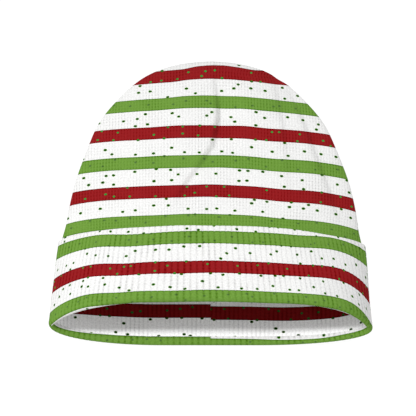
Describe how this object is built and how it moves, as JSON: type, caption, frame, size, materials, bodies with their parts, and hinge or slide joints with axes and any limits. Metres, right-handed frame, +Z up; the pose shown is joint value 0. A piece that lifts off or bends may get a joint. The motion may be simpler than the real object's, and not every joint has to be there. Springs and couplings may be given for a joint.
{
  "type": "printed beanie",
  "caption": "Hollow knitted hat with a turned-up ribbed cuff, lying on its back with its opening to the front.",
  "frame": {"origin": "on the floor under the middle of the hat as it lies on its back", "axes": "+Z up, -Y out of the opening, +Y towards the crown end, +X across the rim"},
  "size_m": [0.2414, 0.2291, 0.0663],
  "materials": {
    "body_knit": "fine matt knit, white with printed level red and green stripes and small green dots",
    "cuff_knit": "ribbed matt knit, white with printed level red and green stripes and small green dots"
  },
  "bodies": {
    "root": {"crown": "body_knit", "cuff": "cuff_knit"}
  },
  "joints": []
}
